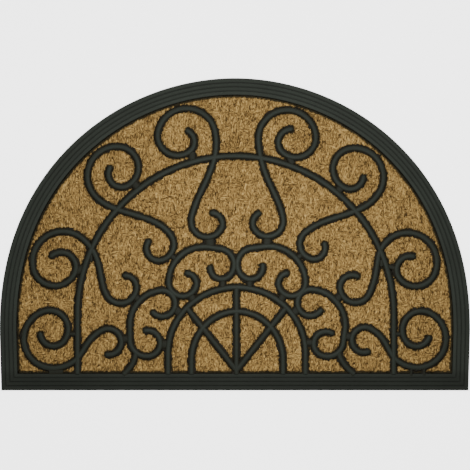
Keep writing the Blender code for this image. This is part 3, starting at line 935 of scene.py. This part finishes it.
def border_section(look):
    """Insets and heights from the floor up the lip, over the ribs and down to the web. Between the lip
    and the coir the top rises evenly, less relief times |2t - 1| ** 3 across each rib."""
    u = (np.arange(RIB_COUNT)[:, None] + np.arange(RIB_STEPS) / RIB_STEPS).ravel()
    rise = (look.inner_top - look.outer_top) / MM / (RIB_COUNT - 1)
    top = look.outer_top / MM + rise * (u - 0.5) - look.relief / MM * np.abs(2 * (u % 1) - 1) ** 3
    inner_edge = look.inner_top / MM + 0.5 * rise - look.relief / MM
    inner = np.array([
        (BORDER_WIDTH - 0.15, inner_edge + 0.1), (BORDER_WIDTH, inner_edge - 0.3),
        (BORDER_WIDTH, WEB_THICKNESS),
    ])
    inset = np.concatenate((LIP_SECTION[:, 0], LIP_WIDTH + u * RIB_PITCH, inner[:, 0]))
    height = np.concatenate((LIP_SECTION[:, 1], top, inner[:, 1]))
    return inset, height


def border_piece(look, material):
    """The section carried round the mat's edge, mitred at the front corners because each ring is the
    edge moved in, closed below by the underside and above by the web under the coir."""
    inset, height = border_section(look)
    plane = np.stack([outline(value) for value in inset])
    wavy = WAVINESS * noise(plane.real / 17, plane.imag / 17, 61)
    points = in_frame(plane, height[:, None] + wavy * (height[:, None] > WEB_THICKNESS + 0.1))
    rows, round_it = plane.shape
    index = np.arange(rows * round_it).reshape(rows, round_it)
    here, ahead = index[:-1], index[1:]
    quads = np.stack((here, np.roll(here, -1, 1), np.roll(ahead, -1, 1), ahead), axis=-1).reshape(-1, 4)
    u = (inset - LIP_WIDTH) / RIB_PITCH
    # Painted highlight along each rib's ridge
    ridge = 1 - np.abs(2 * (u % 1) - 1) ** 2
    on_rib = GROOVE_DUST + RIDGE_HIGHLIGHT * ridge + INNER_RIB_LIGHTER * (u > RIB_COUNT - 1)
    # None past the last rib: the inner edge stays dark as painted shade in the groove beside the coir
    crown = np.where(u > 0, on_rib, LIP_LIGHTER) * (u < RIB_COUNT - 0.07)
    # Painted shade along the front, which keeps only part of the lighter colour
    front_shade = FRONT_SHADE + (1 - FRONT_SHADE) * eased(plane.imag, 22.0, 36.0)
    values = {"crown": crown[:, None] * front_shade}
    faces = [quads, index[:1, ::-1], index[-1:]]
    return new_piece("ribbed_border", points.reshape(-1, 3), faces, values, material, 50)


# Materials

class Field:
    """A value in a material, which can be added to, multiplied and so on. Each step is a Math node."""

    def __init__(self, finish, socket):
        self.finish = finish
        self.socket = socket

    def __add__(self, other):
        return self.finish.maths("ADD", self, other)

    def __sub__(self, other):
        return self.finish.maths("SUBTRACT", self, other)

    def __rsub__(self, other):
        return self.finish.maths("SUBTRACT", other, self)

    def __mul__(self, other):
        return self.finish.maths("MULTIPLY", self, other)

    def __pow__(self, other):
        return self.finish.maths("POWER", self, other)

    __radd__ = __add__
    __rmul__ = __mul__

    def clipped(self):
        """Held between 0 and 1."""
        return self.finish.maths("ADD", self, 0.0, use_clamp=True)


class Finish:
    """One material: its nodes, and the sockets of its surface."""

    def __init__(self, name, **constants):
        self.material = bpy.data.materials.new(name)
        self.material.use_nodes = True
        self.tree = self.material.node_tree
        self.surface = self.tree.nodes["Principled BSDF"]
        for socket, value in constants.items():
            self.surface.inputs[socket.replace("_", " ")].default_value = value

    def node(self, kind, settings, sockets, output=0):
        """Adds a node, sets its settings, then its sockets' values or links. Returns one output."""
        made = self.tree.nodes.new("ShaderNode" + kind)
        for key, value in settings.items():
            setattr(made, key, value)
        for key, value in sockets.items():
            if isinstance(value, Field):
                self.tree.links.new(made.inputs[key], value.socket)
            else:
                made.inputs[key].default_value = value
        return Field(self, made.outputs[output])

    def maths(self, operation, first, second, use_clamp=False):
        """A sum of two values, numbers or fields."""
        settings = {"operation": operation, "use_clamp": use_clamp}
        return self.node("Math", settings, {0: first, 1: second})

    def value(self, name):
        """A value that the mesh holds per point."""
        return self.node("Attribute", {"attribute_name": name}, {}, "Fac")

    def grain(self, scale, detail, stretch=(1, 1, 1)):
        """Noise from 0 to 1 in the part's own space, drawn out along an axis by a small stretch."""
        place = self.node("TexCoord", {}, {}, "Object")
        place = self.node("Mapping", {}, {"Vector": place, "Scale": stretch})
        return self.node("TexNoise", {}, {"Vector": place, "Scale": scale, "Detail": detail}, "Fac")

    def blended(self, share, low, high):
        """A colour between two others."""
        sockets = {"Factor": share, 6: self.colour(low), 7: self.colour(high)}
        return self.node("Mix", {"data_type": "RGBA"}, sockets, 2)

    def colour(self, value):
        """A field as it is, or three numbers as a solid colour."""
        return value if isinstance(value, Field) else (*value, 1.0)

    def bump(self, height, distance, strength):
        """Fine relief, as a change of the surface's normal."""
        return self.node("Bump", {}, {"Height": height, "Distance": distance, "Strength": strength})

    def put(self, **fields):
        """Links fields to the surface."""
        for socket, field in fields.items():
            self.tree.links.new(self.surface.inputs[socket.replace("_", " ")], field.socket)
        return self.material


def coir_finish(name, look, stretch_scale):
    """Coir: dark, middle and light by each strand's tone and fine noise drawn out along the strands, with
    painted shade in the pits carried by the tone, and nearly black where rubber has seeped in and where
    shade is painted beside the bars and the border."""
    finish = Finish(name, Metallic=0.0, Specular_IOR_Level=0.25)
    upright = finish.grain(stretch_scale, 2.0, (1.0, 0.35, 0.6))
    across = finish.grain(stretch_scale, 2.0, (0.35, 1.0, 0.6))
    fine = upright + (across - upright) * finish.value("patch")
    tone = (finish.value("tone") * 0.85 + fine * 2.6 - 1.23).clipped()
    low = finish.blended((tone * 2.0).clipped(), look.dark, look.middle)
    both = finish.blended((tone * 2.0 - 1.0).clipped(), low, look.light)
    # Near-black where rubber has seeped in and where shade is painted
    shade = finish.blended(finish.value("soak"), both, look.seeped_and_shaded)
    rough = 0.82 + fine * 0.15
    return finish.put(Base_Color=shade, Roughness=rough, Normal=finish.bump(fine, 0.0006, 0.7))


def border_finish(look):
    """Moulded black rubber, greyed by dust and by a painted highlight on the ribs' crowns, left dark as
    painted shade at the inner edge and along the front, with a fine moulded grain.
    """
    finish = Finish("border_rubber", Metallic=0.0, Specular_IOR_Level=0.12)
    grain = finish.grain(900.0, 2.0)
    patches = finish.grain(14.0, 3.0)
    # Dust and painted highlight, from the crown values
    dust_and_highlight = (finish.value("crown") * (0.6 + patches * 0.6) + grain * 0.3 - 0.15).clipped()
    shade = finish.blended(dust_and_highlight, look.rubber, look.dust_and_highlight)
    rough = 0.5 + patches * 0.2 + grain * 0.08
    return finish.put(Base_Color=shade, Roughness=rough, Normal=finish.bump(grain, 0.0002, 0.6))


def bar_finish(look):
    """The same rubber on a bar: greyer along the crown as painted sheen, where it is also a little
    polished, and black down the sides as painted shade.
    """
    finish = Finish("bar_rubber", Metallic=0.0, Specular_IOR_Level=0.12)
    grain = finish.grain(700.0, 2.0)
    patches = finish.grain(22.0, 3.0)
    crown = (finish.value("crown") * (0.75 + patches * 0.4) + grain * 0.16 - 0.1).clipped()
    # Painted sheen on the crown, painted shade down the flanks
    shade = finish.blended(crown, look.flank, look.crown)
    rough = 0.58 - crown * 0.14 + grain * 0.1
    return finish.put(Base_Color=shade, Roughness=rough, Normal=finish.bump(grain, 0.0003, 0.5))


def seep_and_shade_finish(look):
    """Rubber that has run into the coir, and painted shade beside each bar: black, dull and lumpy with the
    fibres under it.
    """
    finish = Finish("seeped_rubber", Metallic=0.0, Specular_IOR_Level=0.2)
    lumps = finish.grain(420.0, 3.0, (1.0, 0.4, 1.0))
    # Black for seeped rubber and painted shade
    shade = finish.blended(lumps, look.flank, (0.022, 0.019, 0.015))
    rough = 0.75 + lumps * 0.2
    return finish.put(Base_Color=shade, Roughness=rough, Normal=finish.bump(lumps, 0.0008, 0.9))


def floor_finish(look):
    """A plain pale floor with a faint unevenness."""
    finish = Finish("pale_floor", Metallic=0.0, Specular_IOR_Level=0.1, Emission_Strength=3.5)
    faint = finish.grain(3.0, 2.0)
    near = tuple(0.985 * value for value in look.floor)
    shade = finish.blended(faint, near, look.floor)
    return finish.put(Base_Color=shade, Emission_Color=shade, Roughness=0.9 + faint * 0.05)


# Operators

class DOORMAT_OT_border(bpy.types.Operator):
    """Makes the ribbed rubber border, the web and the underside."""

    bl_idname = "doormat.border"
    bl_label = "Ribbed border"

    def execute(self, context):
        look = context.scene.doormat_border
        piece = border_piece(look, border_finish(look))
        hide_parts("rubber_base")
        return {"FINISHED"}


class DOORMAT_OT_coir(bpy.types.Operator):
    """Makes the woven coir panel and its layers of loose fibres."""

    bl_idname = "doormat.coir"
    bl_label = "Woven coir"

    def execute(self, context):
        look = context.scene.doormat_coir
        table = near_bars(tracery_bars(context.scene.doormat_tracery))
        panel = coir_panel(look, table, coir_finish("woven_coir", look, 640.0))
        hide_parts("coir_panel")
        loose = coir_finish("loose_coir", look, 700.0)
        layers = [fibre_layer("coir_fibres_%d" % (index + 1), 70 + index, look, table, loose)
                  for index in range(3)]
        ring = outline(BORDER_WIDTH + FIT_GAP) * MM
        area = abs(np.sum(ring.real * np.roll(ring.imag, -1) - ring.imag * np.roll(ring.real, -1))) / 2
        return {"FINISHED"}


class DOORMAT_OT_tracery(bpy.types.Operator):
    """Makes the rubber scroll bars and the dark skirt beside them: rubber that has seeped out, and painted
    shade.
    """

    bl_idname = "doormat.tracery"
    bl_label = "Scroll tracery"

    def execute(self, context):
        look = context.scene.doormat_tracery
        seep_and_shade = context.scene.doormat_coir.seep_and_shade / MM
        bars = tracery_bars(look)
        rings, crowns = zip(*(bar_rings(bar, index) for index, bar in enumerate(bars)))
        tracery = tubes_to_piece("scroll_bars", rings, {"crown": crowns}, bar_finish(look))
        # Dark skirts beside each bar: seeped rubber and painted shade
        skirts = [seep_and_shade_rings(bar, index, seep_and_shade) for index, bar in enumerate(bars)]
        seeped = tubes_to_piece("seeped_rubber", skirts, {}, seep_and_shade_finish(look))
        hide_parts("scroll_tracery")
        return {"FINISHED"}


# The stage, in metres and degrees. A lamp's power is the stage's setting of the same name.
FLOOR_HALF = 4.0
FLOOR_DROP = 0.0004
SENSOR_WIDTH = 36.0
CAMERA_PLACE = (0.0002, -0.0012)
CAMERA_REACH = 40.0
Lamp = namedtuple("Lamp", "name size place lean")
LAMPS = (
    Lamp("softbox", 0.3, (0.03, 0.01, 0.55), 0),
    Lamp("back_light", 1.2, (0.1, 1.5, 1.6), -43),
)


class DOORMAT_OT_stage(bpy.types.Operator):
    """Makes the floor, the lights and the camera, which looks straight down."""

    bl_idname = "doormat.stage"
    bl_label = "Stage"

    def execute(self, context):
        look = context.scene.doormat_stage
        low, high = -FLOOR_HALF, FLOOR_HALF
        corners = [(x, y, -FLOOR_DROP) for x, y in ((low, low), (high, low), (high, high), (low, high))]
        floor_mesh = bpy.data.meshes.new("floor")
        floor_mesh.from_pydata(corners, [], [(0, 1, 2, 3)])
        floor_mesh.materials.append(floor_finish(look))
        floor = bpy.data.objects.new("floor", floor_mesh)
        context.scene.collection.objects.link(floor)
        world = bpy.data.worlds.new("even_light")
        world.use_nodes = True
        world.node_tree.nodes["Background"].inputs["Color"].default_value = (1.0, 1.0, 1.0, 1.0)
        world.node_tree.nodes["Background"].inputs["Strength"].default_value = look.sky
        context.scene.world = world
        for lamp in LAMPS:
            light = bpy.data.lights.new(lamp.name, "AREA")
            light.energy = getattr(look, lamp.name)
            light.size = lamp.size
            hung = bpy.data.objects.new(lamp.name, light)
            hung.location = lamp.place
            hung.rotation_euler = (math.radians(lamp.lean), 0.0, 0.0)
            hung.visible_camera = False
            context.scene.collection.objects.link(hung)
        camera_data = bpy.data.cameras.new("camera")
        camera_data.sensor_width = SENSOR_WIDTH
        camera_data.lens = look.camera_height * SENSOR_WIDTH / look.view_width
        camera_data.clip_end = CAMERA_REACH
        camera = bpy.data.objects.new("camera", camera_data)
        camera.location = (*CAMERA_PLACE, look.camera_height)
        context.scene.collection.objects.link(camera)
        context.scene.camera = camera
        return {"FINISHED"}


class DOORMAT_PT_panel(bpy.types.Panel):
    """The doormat's pieces and their settings."""

    bl_label = "Half-round doormat"
    bl_idname = "DOORMAT_PT_panel"
    bl_space_type = "VIEW_3D"
    bl_region_type = "UI"
    bl_category = "Doormat"

    def draw(self, context):
        for operator, group in zip(OPERATORS, GROUPS):
            box = self.layout.box()
            box.operator(operator.bl_idname)
            settings = getattr(context.scene, group)
            for name in settings.bl_rna.properties.keys():
                if name not in ("rna_type", "name"):
                    box.prop(settings, name)


GROUPS = {
    "doormat_border": BorderLook,
    "doormat_coir": CoirLook,
    "doormat_tracery": TraceryLook,
    "doormat_stage": StageLook,
}
OPERATORS = (DOORMAT_OT_border, DOORMAT_OT_coir, DOORMAT_OT_tracery, DOORMAT_OT_stage)
CLASSES = (*OPERATORS, DOORMAT_PT_panel)


def register():
    for name, group in GROUPS.items():
        bpy.utils.register_class(group)
        setattr(bpy.types.Scene, name, PointerProperty(type=group))
    for item in CLASSES:
        bpy.utils.register_class(item)


def unregister():
    for item in reversed(CLASSES):
        bpy.utils.unregister_class(item)
    for name, group in GROUPS.items():
        delattr(bpy.types.Scene, name)
        bpy.utils.unregister_class(group)


def main():
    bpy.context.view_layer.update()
    register()
    bpy.ops.doormat.border()
    bpy.ops.doormat.tracery()
    bpy.ops.doormat.coir()
    bpy.ops.doormat.stage()


if __name__ == "__main__":
    main()
